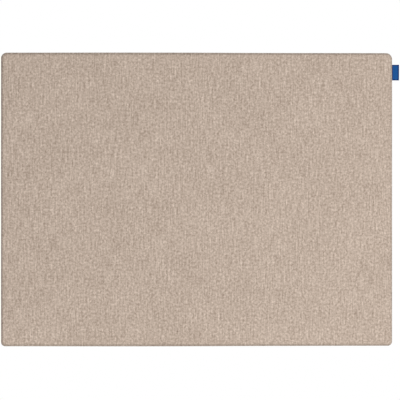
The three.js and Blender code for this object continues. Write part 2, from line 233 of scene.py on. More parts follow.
def heatherWeave():
    # Plain weave of mottled yarns. Place is in millimetres, with the warp along its second axis.
    given, result = newGroup(
        "heatherWeave",
        {
            "Place": "Vector",
            "Dark": "Color",
            "Middle": "Color",
            "Light": "Color",
            "Pitch": 1.1,
            "Warp slub": 26.0,
            "Weft slub": 8.0,
            "Yarn contrast": 0.5,
            "Tuft contrast": 0.5,
            "Streak contrast": 0.5,
            "Fleck": 0.3,
        },
        {"Colour": "Color", "Height": "Float"},
    )
    place = given["Place"]
    x, z, _ = parted(place)
    # the yarns wander, so that no line of the weave is dead straight
    wander = cloud(place, 0.035, 1.0)
    across = calc("MULTIPLY_ADD", wander, 2.4, calc("DIVIDE", x, given["Pitch"]))
    along = calc("MULTIPLY_ADD", wander, -1.9, calc("DIVIDE", z, given["Pitch"]))
    warpNumber, weftNumber = calc("FLOOR", across), calc("FLOOR", along)

    def roundAcross(run):
        # a yarn's round top, from 0 at its sides to 1 in its middle
        fromMiddle = calc("SUBTRACT", calc("FRACT", run), 0.5)
        return calc("COSINE", calc("MULTIPLY", fromMiddle, pi))

    # the yarns climb over each other by turns
    warpRound, weftRound = roundAcross(across), roundAcross(along)
    climb, stoutness = 0.4, 0.6
    turn = calc("FLOORED_MODULO", calc("ADD", warpNumber, weftNumber), 2.0)
    warpUp = calc("MULTIPLY_ADD", turn, -2 * climb, climb)
    weftUp = calc("MULTIPLY", warpUp, -1.0)
    warpBody, weftBody = (calc("MULTIPLY", top, stoutness) for top in (warpRound, weftRound))
    warpHeight = calc("MULTIPLY_ADD", weftRound, warpUp, warpBody)
    weftHeight = calc("MULTIPLY_ADD", warpRound, weftUp, weftBody)
    warpShows = calc("GREATER_THAN", warpHeight, weftHeight)
    # each yarn has its own run of light and dark wool
    warpAlong = calc("DIVIDE", z, given["Warp slub"])
    weftAlong = calc("DIVIDE", x, given["Weft slub"])
    warpRun = joined(calc("MULTIPLY", warpNumber, 3.71), warpAlong)
    weftRun = joined(weftAlong, calc("MULTIPLY", weftNumber, 5.37), 9.0)
    warpTone, weftTone = (cloud(run, 1.0, 4.0, 0.62) for run in (warpRun, weftRun))
    yarn = ranged(warpShows, 0.0, 1.0, weftTone, warpTone)
    # loose fibres, tufts of one shade, streaks along the warp and a slow drift
    fibre = cloud(scaled(place, (3.1, 2.2, 1.0)), 1.0, 3.0, 0.65)
    tuft = cloud(scaled(place, (0.19, 0.17, 1.0)), 1.0, 2.0, 0.6)
    streak = cloud(scaled(place, (0.32, 0.022, 1.0)), 1.0, 2.0, 0.55)
    drift = cloud(place, 0.007, 1.0, 0.5)
    parts = (
        (yarn, given["Yarn contrast"]),
        (tuft, given["Tuft contrast"]),
        (streak, given["Streak contrast"]),
        (fibre, 0.35),
        (drift, 0.10),
    )
    shade = 0.5
    for part, share in parts:
        shade = calc("MULTIPLY_ADD", calc("SUBTRACT", part, 0.5), share, shade)
    fleck = ranged(cloud(scaled(place, (0.5, 0.34, 1.0)), 1.0, 1.0), 0.62, 0.74)
    shade = calc("SUBTRACT", shade, calc("MULTIPLY", fleck, given["Fleck"]))
    # and less light reaches down between the yarns than their usual height gets
    usualHeight, gapShade = 0.58, 0.36
    height = calc("MAXIMUM", warpHeight, weftHeight)
    shade = calc("MULTIPLY_ADD", calc("SUBTRACT", height, usualHeight), gapShade, shade)
    darkHalf = mixed(ranged(shade, 0.0, 0.5), given["Dark"], given["Middle"])
    feed(result["Colour"], mixed(ranged(shade, 0.5, 1.0), darkHalf, given["Light"]))
    feed(result["Height"], calc("MULTIPLY_ADD", fibre, 0.35, height))


def drawnGrain():
    # Fine drawn or ground lines with faint scuffs. Place is in millimetres, lines along its first axis.
    given, result = newGroup(
        "drawnGrain",
        {"Place": "Vector", "Fineness": 6.0, "Run": 0.02},
        {"Lines": "Float", "Scuffs": "Float"},
    )
    shares = (given["Run"], given["Fineness"], given["Fineness"])
    drawn = [
        calc("MULTIPLY", part, share) for part, share in zip(parted(given["Place"]), shares)
    ]
    feed(result["Lines"], cloud(joined(*drawn), 1.0, 4.0, 0.7))
    scuff = cloud(scaled(given["Place"], (0.05, 0.3, 0.3)), 1.0, 5.0, 0.75)
    feed(result["Scuffs"], ranged(scuff, 0.55, 0.7))


def shortFibre():
    # Fibres lying every way, as in felt, fleece and pressed fibreboard. Place is in millimetres.
    given, result = newGroup(
        "shortFibre",
        {"Place": "Vector", "Fineness": 1.0, "Patch contrast": 0.4},
        {"Tone": "Float", "Height": "Float"},
    )
    fine = scaled(given["Place"], joined(*[given["Fineness"]] * 3))
    lying = [
        cloud(scaled(fine, stretch), 1.0, 5.0, 0.7)
        for stretch in ((1.0, 0.35, 0.3), (0.3, 1.0, 0.35), (0.35, 0.3, 1.0))
    ]
    height = calc("DIVIDE", calc("ADD", calc("ADD", lying[0], lying[1]), lying[2]), 3.0)
    patch = calc("SUBTRACT", cloud(given["Place"], 0.03, 3.0, 0.6), 0.5)
    tone = calc("MULTIPLY_ADD", patch, given["Patch contrast"], height)
    feed(result["Tone"], ranged(tone, 0.4, 0.6))
    feed(result["Height"], height)


def fibreFinish(name, dark, light, fineness, depth):
    shader = newFinish(name, {"Roughness": 0.95, "Specular IOR Level": 0.15})
    mat = placeGroup("shortFibre", inMillimetres(shader), {"Fineness": fineness})
    tint(shader, mat["Tone"], dark, light)
    bump(shader, mat["Height"], depth, 0.6)


def pineFinish(name, axis):
    # planed pine with the grain along one axis
    shader = newFinish(name, {"Specular IOR Level": 0.35})
    place = scaled(inMillimetres(shader), [0.02 if letter == axis else 1.0 for letter in "XYZ"])
    rings = newNode("ShaderNodeTexWave", place)
    rings.wave_type, rings.rings_direction = "RINGS", axis
    ring = feedAll(rings, {"Scale": 0.06, "Distortion": 4.0, "Detail": 3.0})["Fac"]
    tone = calc("MULTIPLY_ADD", ring, 0.5, calc("MULTIPLY", cloud(place, 0.6), 0.5))
    pore = cloud(place, 6.0, 4.0, 0.7)
    grain = mixed(tone, colour(222, 186, 138), colour(184, 138, 88))
    tint(shader, ranged(pore, 0.5, 0.8), grain, colour(160, 116, 72))
    feed(shader.inputs["Roughness"], ranged(pore, 0.3, 0.7, 0.5, 0.75))
    bump(shader, pore, 0.0001, 0.5)


def drawnAluminium():
    shader = newFinish("drawnAluminium", {"Metallic": 1.0})
    grain = placeGroup("drawnGrain", inMillimetres(shader), {"Fineness": 4.0, "Run": 0.012})
    lines = ranged(grain["Lines"], 0.3, 0.7)
    bright = mixed(lines, colour(156, 158, 162), colour(186, 188, 191))
    tint(shader, grain["Scuffs"], bright, colour(154, 156, 160))
    rough = calc("MULTIPLY_ADD", grain["Scuffs"], 0.3, lines)
    feed(shader.inputs["Roughness"], ranged(rough, 0.0, 1.3, 0.34, 0.52))
    bump(shader, grain["Lines"], 0.00003, 0.5)


def zincSteel():
    shader = newFinish("zincSteel", {"Metallic": 1.0})
    grain = placeGroup("drawnGrain", inMillimetres(shader), {"Fineness": 2.0, "Run": 1.2})
    lines = ranged(grain["Lines"], 0.3, 0.7)
    bright = mixed(lines, colour(150, 153, 159), colour(184, 186, 189))
    tint(shader, grain["Scuffs"], bright, colour(128, 130, 134))
    feed(shader.inputs["Roughness"], ranged(lines, 0.0, 1.0, 0.24, 0.42))
    bump(shader, grain["Lines"], 0.00002, 0.4)


def bumperRubber():
    shader = newFinish("bumperRubber", {"Specular IOR Level": 0.35})
    place = inMillimetres(shader)
    bloom = ranged(cloud(place, 0.6, 4.0, 0.65), 0.35, 0.7)
    tint(shader, bloom, colour(30, 30, 31), colour(50, 50, 52))
    feed(shader.inputs["Roughness"], ranged(bloom, 0.0, 1.0, 0.58, 0.85))
    # and a fine pebble grain
    bump(shader, cloud(place, 5.0, 3.0, 0.6), 0.00006, 0.5)


heatherWeave()
drawnGrain()
shortFibre()
fibreFinish("fleeceFibre", colour(214, 211, 203), colour(243, 241, 236), 1.2, 0.0003)
fibreFinish("feltFibre", colour(196, 196, 192), colour(230, 230, 227), 1.0, 0.0004)
fibreFinish("pressedFibre", colour(140, 112, 78), colour(184, 156, 118), 1.5, 0.0003)
pineFinish("pineAcross", "X")
pineFinish("pineUpright", "Z")
drawnAluminium()
zincSteel()
bumperRubber()
print("finishes mixed")


# Mesh helpers


def addPiece(name, mesh, finish, slotName, *nodes, body="board"):
    piece = newObject(name, mesh)
    mesh.materials.clear()
    mesh.materials.append(bpy.data.materials[finish])
    if body:
        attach(piece, body)
    for node in nodes:
        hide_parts(node)
    return piece


def newMesh(name, places, faces, threads=None):
    mesh = bpy.data.meshes.new(name)
    mesh.from_pydata([tuple(place) for place in places], [], faces)
    if threads:
        layer = mesh.uv_layers.new(name="threads")
        layer.uv.foreach_set("vector", [value for pair in threads for value in pair])
    mesh.shade_smooth()
    return mesh


def modified(mesh, *kinds):
    # an object that holds the mesh, and its new modifiers
    piece = newObject("work", mesh)
    return piece, [piece.modifiers.new(kind, kind) for kind in kinds]


def baked(piece):
    # its mesh after the modifiers; the object goes
    depsgraph = bpy.context.evaluated_depsgraph_get()
    result = bpy.data.meshes.new_from_object(
        piece.evaluated_get(depsgraph), preserve_all_data_layers=True, depsgraph=depsgraph
    )
    bpy.data.objects.remove(piece)
    return result


def thickened(mesh, thickness, offset=-1.0):
    piece, (solid,) = modified(mesh, "SOLIDIFY")
    solid.thickness, solid.offset = thickness, offset
    return baked(piece)


def cutOut(mesh, cutters):
    piece, cuts = modified(mesh, *["BOOLEAN"] * len(cutters))
    tools = [newObject("cutter", cutter) for cutter in cutters]
    for cut, tool in zip(cuts, tools):
        cut.operation, cut.solver, cut.object = "DIFFERENCE", "EXACT", tool
    result = baked(piece)
    for tool in tools:
        bpy.data.objects.remove(tool)
    return result


def eased(mesh, width):
    # every sharp edge rounded off, with flat faces that stay flat in the light
    mesh.shade_smooth()
    piece, (bevel, even) = modified(mesh, "BEVEL", "WEIGHTED_NORMAL")
    bevel.width, bevel.segments, bevel.limit_method = width, 3, "ANGLE"
    bevel.angle_limit = radians(30)
    even.keep_sharp = False
    return baked(piece)


def facingOut(mesh):
    shape = bmesh.new()
    shape.from_mesh(mesh)
    bmesh.ops.remove_doubles(shape, verts=shape.verts, dist=1e-7)
    bmesh.ops.recalc_face_normals(shape, faces=shape.faces)
    shape.to_mesh(mesh)
    shape.free()
    return mesh


def cells(rows, columns):
    # the corners of each cell of a net, as (row, column)
    for row, column in product(range(rows), range(columns)):
        yield (row, column), (row + 1, column), (row + 1, column + 1), (row, column + 1)


def turned(name, profile, segments, closed=False):
    # (radius, depth) points turned about the depth axis
    places = []
    for radius, depth in profile:
        for step in range(segments):
            angle = 2 * pi * step / segments
            places.append((radius * cos(angle), -depth, radius * sin(angle)))
    count = len(profile)
    faces = [
        tuple(ring % count * segments + step % segments for ring, step in corners)
        for corners in cells(count if closed else count - 1, segments)
    ]
    return facingOut(newMesh(name, places, faces))


def barFaces(size, rings, start=0):
    # the faces of a bar through rings of points, numbered from a start on, with both its ends
    ends = [tuple(range(first, first + size)) for first in (start, start + size * (rings - 1))]
    sides = [
        tuple(start + ring * size + at % size for ring, at in corners)
        for corners in cells(rings - 1, size)
    ]
    return sides + ends


def bar(name, *rings):
    places = [place for ring in rings for place in ring]
    return facingOut(newMesh(name, places, barFaces(len(rings[0]), len(rings))))


def drawnAcross(name, section, fromX, toX):
    # a (depth, z) section drawn along X
    return bar(name, *([(x, -depth, z) for depth, z in section] for x in (fromX, toX)))


def drawnThrough(name, outline, fromDepth, toDepth):
    # an (x, z) outline drawn through the depth
    return bar(name, *([(x, -depth, z) for x, z in outline] for depth in (fromDepth, toDepth)))


def ruffle(x, z, size, seed):
    # smooth unevenness from -1 to 1, with bumps about this far apart
    return noise.noise(Vector((x / size, z / size, seed)))


def smoothStep(value, low, high):
    share = min(max((value - low) / (high - low), 0.0), 1.0)
    return share * share * (3 - 2 * share)


# Layers of the board are wrapped round one outline with rounded corners, at stations of (inset, depth,
# sideways share, forward share). The shares say which way a lift of the cloth goes there.


def shapeOf(node, **outline):
    low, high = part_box(node)
    halves = {"halfX": (high.x - low.x) / 2, "halfZ": (high.z - low.z) / 2}
    return {"middle": centreOf(node), **halves, **outline}


def outlineAt(shape, inset):
    # places round the outline at an inset, as (x, z, outward x, outward z)
    halves, steps = (shape["halfX"], shape["halfZ"]), shape["cornerSteps"]
    arcs = []
    for quarter, ways in enumerate(((1, 1), (-1, 1), (-1, -1), (1, -1))):
        radius = max(shape["cornerRadii"][quarter] - inset, shape["tightRadius"])
        centreX, centreZ = (way * (half - inset - radius) for way, half in zip(ways, halves))
        turns = [(quarter + step / steps) * pi / 2 for step in range(steps + 1)]
        outs = [(cos(turn), sin(turn)) for turn in turns]
        arcs.append([(centreX + radius * x, centreZ + radius * z, x, z) for x, z in outs])
    loop = []
    for quarter, arc in enumerate(arcs):
        startX, startZ, outX, outZ = arc[-1]
        endX, endZ = arcs[(quarter + 1) % 4][0][:2]
        # as many steps at every inset, over the straight part, about 1.95 times the half side
        count = max(round(1.95 * halves[quarter % 2] / shape["step"]), 2)
        loop += arc
        for share in [step / count for step in range(1, count)]:
            loop.append((startX + (endX - startX) * share, startZ + (endZ - startZ) * share, outX, outZ))
    return loop


def runsAlong(points):
    # the way from the first point to each one, by their first two values
    runs = [0.0]
    for first, second in zip(points, points[1:]):
        runs.append(runs[-1] + hypot(second[0] - first[0], second[1] - first[1]))
    return runs


def runsRound(loop):
    return runsAlong(loop + loop[:1])


def level(insets, depth, front):
    # stations at one depth, with the cloth's outer side to the front (1) or the back (-1)
    return [(inset, depth, 0.0, front) for inset in insets]


def bendRound(inset, depth, reach, rise, steps, fromAngle, toAngle):
    # stations round a bend: angle 0 faces out of the side, a quarter turn faces the viewer
    stations = []
    for step in range(steps + 1):
        angle = fromAngle + (toAngle - fromAngle) * step / steps
        side, front = cos(angle), sin(angle)
        length = hypot(side * rise, front * reach)
        shares = (side * rise / length, front * reach / length)
        stations.append((inset - reach * side, depth + rise * front, *shares))
    return stations


def capFill(shape, inset, grid):
    # a flat net of points and triangles inside the outline; the first points are the outline's own
    rim = [Vector((x, z)) for x, z, _, _ in outlineAt(shape, inset)]
    margin = inset + grid * 0.7
    halfX, halfZ = shape["halfX"] - margin, shape["halfZ"] - margin
    columns, rows = round(2 * halfX / grid), round(2 * halfZ / grid)
    inner = [
        Vector((halfX * (2 * i / columns - 1), halfZ * (2 * j / rows - 1)))
        for j in range(rows + 1)
        for i in range(columns + 1)
    ]
    net = geometry.delaunay_2d_cdt(rim + inner, [], [list(range(len(rim)))], 1, 1e-6)
    spots, triangles, sources = net[0], net[2], net[3]
    return spots, triangles, [source[0] if source else -1 for source in sources]


def wrap(name, shape, stations, lift=None, threadAt=None, firstCap=None, lastCap=None):
    # a layer through rings at the stations, closed by a net where it has a cap
    middle = shape["middle"]
    rings = [outlineAt(shape, station[0]) for station in stations]
    size = len(rings[0])
    places, faces, threads = [], [], []
    # laid flat again, the layer runs straight on outwards from its cap
    across = runsAlong(stations)
    capAt = len(stations) - 1 if lastCap and not firstCap else 0
    flatRings = [outlineAt(shape, stations[capAt][0] - abs(run - across[capAt])) for run in across]

    def flatThread(number, column):
        return flatRings[number][column % size][:2]

    threadAt = threadAt or flatThread
    for number, (inset, depth, side, front) in enumerate(stations):
        for column, (x, z, outX, outZ) in enumerate(rings[number]):
            rise = lift(x, z, column, number) if lift else 0.0
            x, z = x + outX * rise * side, z + outZ * rise * side
            places.append((middle[0] + x, -(depth + rise * front), middle[1] + z))
    for corners in cells(len(stations) - 1, size):
        faces.append(tuple(number * size + column % size for number, column in corners))
        threads += [threadAt(*corner) for corner in corners]
    for cap, number in ((firstCap, 0), (lastCap, len(stations) - 1)):
        if not cap:
            continue
        spots, triangles, sources = capFill(shape, stations[number][0], cap["grid"])
        numbers = []
        for spot, source in zip(spots, sources):
            if 0 <= source < size:
                numbers.append(number * size + source)
            else:
                numbers.append(len(places))
                depth = stations[number][1] + (cap["lift"](spot.x, spot.y) if "lift" in cap else 0.0)
                places.append((middle[0] + spot.x, -depth, middle[1] + spot.y))
        for triangle in triangles:
            corners = triangle if number == 0 else triangle[::-1]
            faces.append(tuple(numbers[corner] for corner in corners))
            threads += [(spots[corner].x, spots[corner].y) for corner in corners]
    return newMesh(name, places, faces, threads)


boardShape = shapeOf(
    "fabric_front",
    cornerRadii=(0.0155, 0.0145, 0.0105, 0.0115),  # from the top right, round by the top left
    tightRadius=0.001,
    cornerSteps=24,
    step=0.0025,
)
boardRim = outlineAt(boardShape, 0.0)
boardRuns = runsRound(boardRim)


# Cover: a front sheet and a side band, sewn together in a seam behind the rounded edge
cover = {
    "cloth": 0.0008,
    "edgeReach": 0.0085,  # the rounded edge, in from the side and back from the face
    "edgeRise": 0.0047,
    "backRound": 0.002,
    "seamRoll": 0.0008,
    "seamGap": 0.0001,
    "flatInsets": (0.014, 0.012, 0.0105, 0.0095),
    "turnedInsets": (0.0035, 0.005, 0.007, 0.009, 0.011, 0.013, 0.015, 0.017, 0.0195, 0.022),
    "faceGrid": 0.010,
    "faceWave": 0.00025,
    "edgeWave": 0.00025,
    "backWave": 0.00012,
    "belly": 0.0008,  # the longer edges swell by so much, most of all here and this wide
    "bellyAt": -0.12,
    "bellyWidth": 0.25,
    "bellyLoss": 0.3,  # and draw in towards the corners
    "joinDip": 0.0003,  # the band's two ends are sewn together above the label
    "pucker": 0.00016,
    "puckerPitch": 0.010,
    "puckerReach": 0.004,
    "pleats": 7,
    "pleatDepth": 0.0007,
    "pressed": (0.0125, 0.0155),  # in from the side, where the liner presses the folds flat
    "paintedEdgeShade": (0.0070, 0.0045),  # in from the side, where the painted edge shade starts, and where it is full
    "paintedShadeBehind": 0.006,  # and from the seam, back and forward
    "paintedShadeBefore": 0.003,
    "paintedShadeBelow": 0.3,  # painted edge shade, stronger at the bottom and weaker at the sides
    "paintedShadeBeside": 0.15,
    "paintedShadeShare": 0.28,
    "weave": {
        "Dark": colour(122, 103, 88),
        "Middle": colour(188, 170, 155),
        "Light": colour(246, 228, 213),
        "Pitch": 1.15,
        "Warp slub": 14.0,
        "Weft slub": 7.0,
        "Yarn contrast": 0.9,
        "Tuft contrast": 0.85,
        "Streak contrast": 0.55,
    },
    # the dark colour that the painted edge shade mixes in
    "paintedShadeColour": colour(60, 56, 51),
}
puckerPitch = boardRuns[-1] / round(boardRuns[-1] / cover["puckerPitch"])


def coverCloth():
    shader = newFinish(
        "coverCloth",
        {"Roughness": 0.95, "Specular IOR Level": 0.12, "Sheen Weight": 0.06, "Sheen Roughness": 0.6},
    )
    weave = placeGroup("heatherWeave", inMillimetres(shader, threads=True), cover["weave"])
    # painted shade on the rounded edge and along the seam: the cloth darkens there towards a dark
    # colour, a little more between the yarns than on them
    paintedEdgeShade = shader.id_data.nodes.new("ShaderNodeAttribute")
    paintedEdgeShade.attribute_name = "paintedEdgeShade"
    gaps = ranged(weave["Height"], 0.2, 1.1, cover["paintedShadeShare"], cover["paintedShadeShare"] * 0.7)
    share = calc("MULTIPLY", paintedEdgeShade.outputs["Fac"], gaps)
    tint(shader, share, weave["Colour"], cover["paintedShadeColour"])
    bump(shader, weave["Height"], 0.00025, 0.6)


coverCloth()


def paintedEdgeShadeAt(inset, depth):
    # how much painted shade the cloth gets: most on the rounded edge, easing off along the side band
    onFace = smoothStep(inset, *cover["paintedEdgeShade"])
    behind, before = seamDepth - cover["paintedShadeBehind"], seamDepth + cover["paintedShadeBefore"]
    return onFace * smoothStep(depth, behind, before)


def edgeLift(x, z, column, depth):
    # the slack of the cloth, the belly of the longer edges, and a pucker at each stitch of the seam
    slack = cover["edgeWave"] * (0.7 * ruffle(x, z, 0.17, 1.0) + 0.3 * ruffle(x, z, 0.04, 2.0))
    alongX = (x - cover["bellyAt"]) / cover["bellyWidth"]
    belly = cover["belly"] * (exp(-alongX * alongX) - cover["bellyLoss"])
    near = exp(-abs(depth - seamDepth) / cover["puckerReach"])
    uneven = 0.6 + 0.5 * ruffle(x, z, 0.05, 3.0)
    pucker = cover["pucker"] * near * uneven * cos(2 * pi * boardRuns[column] / puckerPitch)
    return slack + belly * abs(boardRim[column][3]) + pucker


def faceLift(x, z):
    return cover["faceWave"] * (0.7 * ruffle(x, z, 0.21, 4.0) + 0.3 * ruffle(x, z, 0.075, 5.0))


def sewn(name, stations, lift, **more):
    # cloth through the stations, marked with painted shade round its edge; its first places are the
    # stations' rings
    mesh = wrap(name, boardShape, stations, lift, **more)
    below, beside = cover["paintedShadeBelow"], cover["paintedShadeBeside"]
    # the painted shade is stronger on the bottom edge and weaker on the sides
    paintedShadeBySide = [1 + below * max(-outZ, 0) - beside * abs(outX) for _, _, outX, outZ in boardRim]
    shares = [paintedEdgeShadeAt(inset, depth) * pull for inset, depth, _, _ in stations for pull in paintedShadeBySide]
    shares += [0.0] * (len(mesh.vertices) - len(shares))
    mesh.attributes.new("paintedEdgeShade", "FLOAT", "POINT").data.foreach_set("value", shares)
    return thickened(mesh, cover["cloth"])


def sewFrontSheet():
    reach, rise, roll = cover["edgeReach"], cover["edgeRise"], cover["seamRoll"]
    stations = level(cover["flatInsets"], faceDepth, 1.0)
    stations += bendRound(reach, faceDepth - rise, reach, rise, 14, pi / 2, 0)
    stations += bendRound(roll, seamDepth + cover["seamGap"] + roll, roll, roll, 4, 0, -pi / 2)

    def lift(x, z, column, number):
        front = max(stations[number][3], 0.0)
        return edgeLift(x, z, column, stations[number][1]) * (1 - front) + faceLift(x, z) * front

    return sewn("front_sheet", stations, lift, firstCap={"grid": cover["faceGrid"], "lift": faceLift})


def sewSideBand():
    roll, bend = cover["seamRoll"], cover["backRound"]
    rollDepth = seamDepth - cover["seamGap"] - roll
    bendDepth = backDepth + bend
    stations = bendRound(roll, rollDepth, roll, roll, 4, pi / 2, 0)
    for share in (0.2, 0.4, 0.6, 0.8):
        stations.append((0.0, rollDepth + (bendDepth - rollDepth) * share, 1.0, 0.0))
    stations += bendRound(bend, bendDepth, bend, bend, 5, 0, -pi / 2)
    stations += level(cover["turnedInsets"], backDepth, -1.0)
    across = runsAlong(stations)

    def pleatAt(column, inset):
        # the slack cloth in each corner is laid in small folds behind the bend
        _, _, outX, outZ = boardRim[column]
        share = atan2(outZ, outX) % (pi / 2) / (pi / 2)
        fold = abs(share * cover["pleats"] % 1.0 * 2 - 1)
        inCorner = min(5 * share, 5 * (1 - share), 1.0)
        grown = smoothStep(inset, 0.001, 0.010)
        pressed = 1 - 0.8 * smoothStep(inset, *cover["pressed"])
        return cover["pleatDepth"] * fold * inCorner * grown * pressed

    def lift(x, z, column, number):
        inset, depth, side, front = stations[number]
        rise = edgeLift(x, z, column, depth) * max(side, 0.0)
        if column == 0:
            rise -= cover["joinDip"]
        if front < -0.5:
            rise += pleatAt(column, inset) - cover["backWave"] * ruffle(x, z, 0.02, 6.0)
        return rise

    rings = [outlineAt(boardShape, station[0]) for station in stations]

    def threadAt(number, column):
        # the yarns run straight in from the edge, and only crowd together in the corners
        rimX, rimZ, outX, outZ = boardRim[column % len(boardRim)]
        x, z, _, _ = rings[number][column % len(boardRim)]
        return (boardRuns[column] - (x - rimX) * outZ + (z - rimZ) * outX, -across[number])

    return sewn("side_band", stations, lift, threadAt=threadAt)


frontSheet = addPiece("cover_front", sewFrontSheet(), "coverCloth", "cover_fabric", "fabric_front")
sideBand = addPiece("cover_side_band", sewSideBand(), "coverCloth", "cover_fabric", "fabric_side_band")
print("cover sewn:", len(frontSheet.data.polygons) + len(sideBand.data.polygons), "faces")


# Wadding and felt behind the cover
wadding = {
    "under": 0.0003,
    "inset": 0.0012,  # in from the cover's side
    "tighter": 0.0011,  # in its bend than the cover
    "flatInsets": (0.02, 0.009),
    "grid": 0.03,
}
felt = {
    "soft": 0.0016,
    "wave": 0.0002,
    "flatInset": 0.008,
    "grid": 0.02,
    "outline": {"cornerRadii": (0.003,) * 4, "tightRadius": 0.0005, "cornerSteps": 5, "step": 0.01},
}


def layWadding():
    low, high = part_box("fleece_wadding")
    shape = dict(boardShape, step=0.01, cornerSteps=10)
    back, front = -high.y, -low.y - wadding["under"]
    reach = cover["edgeReach"] - wadding["tighter"]
    stations = level(wadding["flatInsets"], front, 1.0)
    stations += bendRound(reach + wadding["inset"], back, reach, front - back, 8, pi / 2, 0)
    stations += level(reversed(wadding["flatInsets"]), back, -1.0)
    cap = {"grid": wadding["grid"]}
    return wrap("wadding", shape, stations, firstCap=cap, lastCap=cap)


def cutFelt(node):
    low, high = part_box(node)
    soft, back, front = felt["soft"], -high.y, -low.y

    def lift(x, z, *_):
        return felt["wave"] * (ruffle(x, z, 0.03, 7.0) - 1.0)

    stations = level([felt["flatInset"]], front, 1.0)
    stations += bendRound(soft, front - soft, soft, soft, 4, pi / 2, 0)
    stations.append((0.0, (front + back) / 2, 1.0, 0.0))
    stations += bendRound(soft, back + soft, soft, soft, 4, 0, -pi / 2)
    stations += level([felt["flatInset"]], back, -1.0)
    shape = shapeOf(node, **felt["outline"])
    frontCap = {"grid": felt["grid"], "lift": lift}
    backCap = {"grid": felt["grid"], "lift": lambda x, z: -lift(x, z)}
    return wrap("felt", shape, stations, lift, firstCap=frontCap, lastCap=backCap)


fleece = addPiece("fleece_layer", layWadding(), "fleeceFibre", "fleece", "fleece_wadding")
for side in ("left", "right"):
    node = f"acoustic_core_{side}"
    slab = addPiece(f"felt_slab_{side}", cutFelt(node), "feltFibre", "felt_core", node)
print("wadding and felt laid")


# Label: a woven ribbon, folded double, with both ends caught in the right-hand seam
labelLow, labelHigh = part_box("label_tab")
labelSide = middleX + boardShape["halfX"]
label = {
    "height": labelHigh.z - labelLow.z,
    "length": 2 * (labelHigh.x - labelSide),
    "border": 0.0027,
    "ply": 0.00042,
    "rootInset": 0.0005,
    "rootGap": 0.00006,
    "bellyGap": 0.00034,
    "bellyFrom": 0.008,
    "foldReach": 0.0005,
    "curl": 0.0009,
    "twist": 0.0006,
    "ripple": 0.00025,
    "rows": 40,
    "steps": 26,
    "crowding": 1.6,  # of the steps at the root, where it bends
    "bend": (-0.0004, 0.0028),  # out from the side, the two ends of a bend; the script only works out these places
    "weave": {
        "Dark": colour(8, 48, 100),
        "Middle": colour(22, 80, 146),
        "Light": colour(48, 110, 180),
        "Pitch": 0.42,
        "Warp slub": 9.0,
        "Weft slub": 9.0,
        "Yarn contrast": 0.9,
        "Tuft contrast": 0.15,
        "Streak contrast": 0.15,
        "Fleck": 0.04,
    },
    "borderYarn": colour(10, 42, 98),
}


def ribbonCloth():
    shader = newFinish(
        "ribbonCloth", {"Roughness": 0.8, "Specular IOR Level": 0.12, "Sheen Weight": 0.02}
    )
    place = inMillimetres(shader, threads=True)
    weave = placeGroup("heatherWeave", place, label["weave"])
    # a darker woven border round each half; the ribbon is folded in the middle of its length
    along, across, _ = parted(place)
    halfHeight, halfLength = label["height"] * 1000 / 2, label["length"] * 1000 / 2
    fromEdge = calc("SUBTRACT", halfHeight, calc("ABSOLUTE", across))
    fromEnd = calc("PINGPONG", along, halfLength)
    fromFold = calc("SUBTRACT", halfLength, fromEnd)
    inside = calc("MINIMUM", calc("MINIMUM", fromEdge, fromEnd), fromFold)
    border = label["border"] * 1000
    share = ranged(inside, border, border + 0.3, 0.8, 0.0)
    tint(shader, share, weave["Colour"], label["borderYarn"])
    bump(shader, weave["Height"], 0.0001, 0.6)


ribbonCloth()


def foldLabel():
    ply, rows = label["ply"], label["rows"]
    reach = labelHigh.x - labelSide - ply / 2
    middle, half = (labelLow.z + labelHigh.z) / 2, label["height"] / 2
    start, foldStart = -label["rootInset"], reach - label["foldReach"]
    rootHalf, bellyHalf = (ply + label["rootGap"]) / 2, (ply + label["bellyGap"]) / 2
    # the way from one end round the fold to the other, as (out from the side, away from the middle)
    path = []
    for step in range(label["steps"] + 1):
        out = start + (foldStart - start) * (step / label["steps"]) ** label["crowding"]
        belly = smoothStep(out, 0.0, label["bellyFrom"])
        path.append((out, rootHalf + (bellyHalf - rootHalf) * belly))
    for step in range(1, 7):
        angle = pi / 2 * (1 - step / 6)
        path.append((foldStart + label["foldReach"] * cos(angle), bellyHalf * sin(angle)))
    path += [(out, -away) for out, away in path[-2::-1]]
    runs = runsAlong(path)
    shares = [2 * row / rows - 1 for row in range(rows + 1)]
    places, faces, threads = [], [], []
    for share in shares:
        for out, away in path:
            bent = (out / reach) ** 2 if out > 0 else 0.0
            depth = seamDepth + away + bent * (label["curl"] + label["twist"] * share)
            drop = label["ripple"] * bent * ruffle(share, out * 60, 0.8, 8.0)
            places.append((labelSide + out, -depth, middle + half * share - drop))
    for corners in cells(len(path) - 1, rows):
        faces.append(tuple(row * len(path) + step for step, row in corners))
        threads += [(runs[step], half * shares[row]) for step, row in corners]
    return thickened(newMesh("label", places, faces, threads), ply, 0.0)


ribbon = addPiece("label_ribbon", foldLabel(), "ribbonCloth", "label_weave", "label_tab", body=None)
bendStart, bendEnd = ((labelSide + out, -seamDepth, 0.02) for out in label["bend"])
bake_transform(ribbon)
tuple(bendStart)
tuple(bendEnd)
print("label folded")


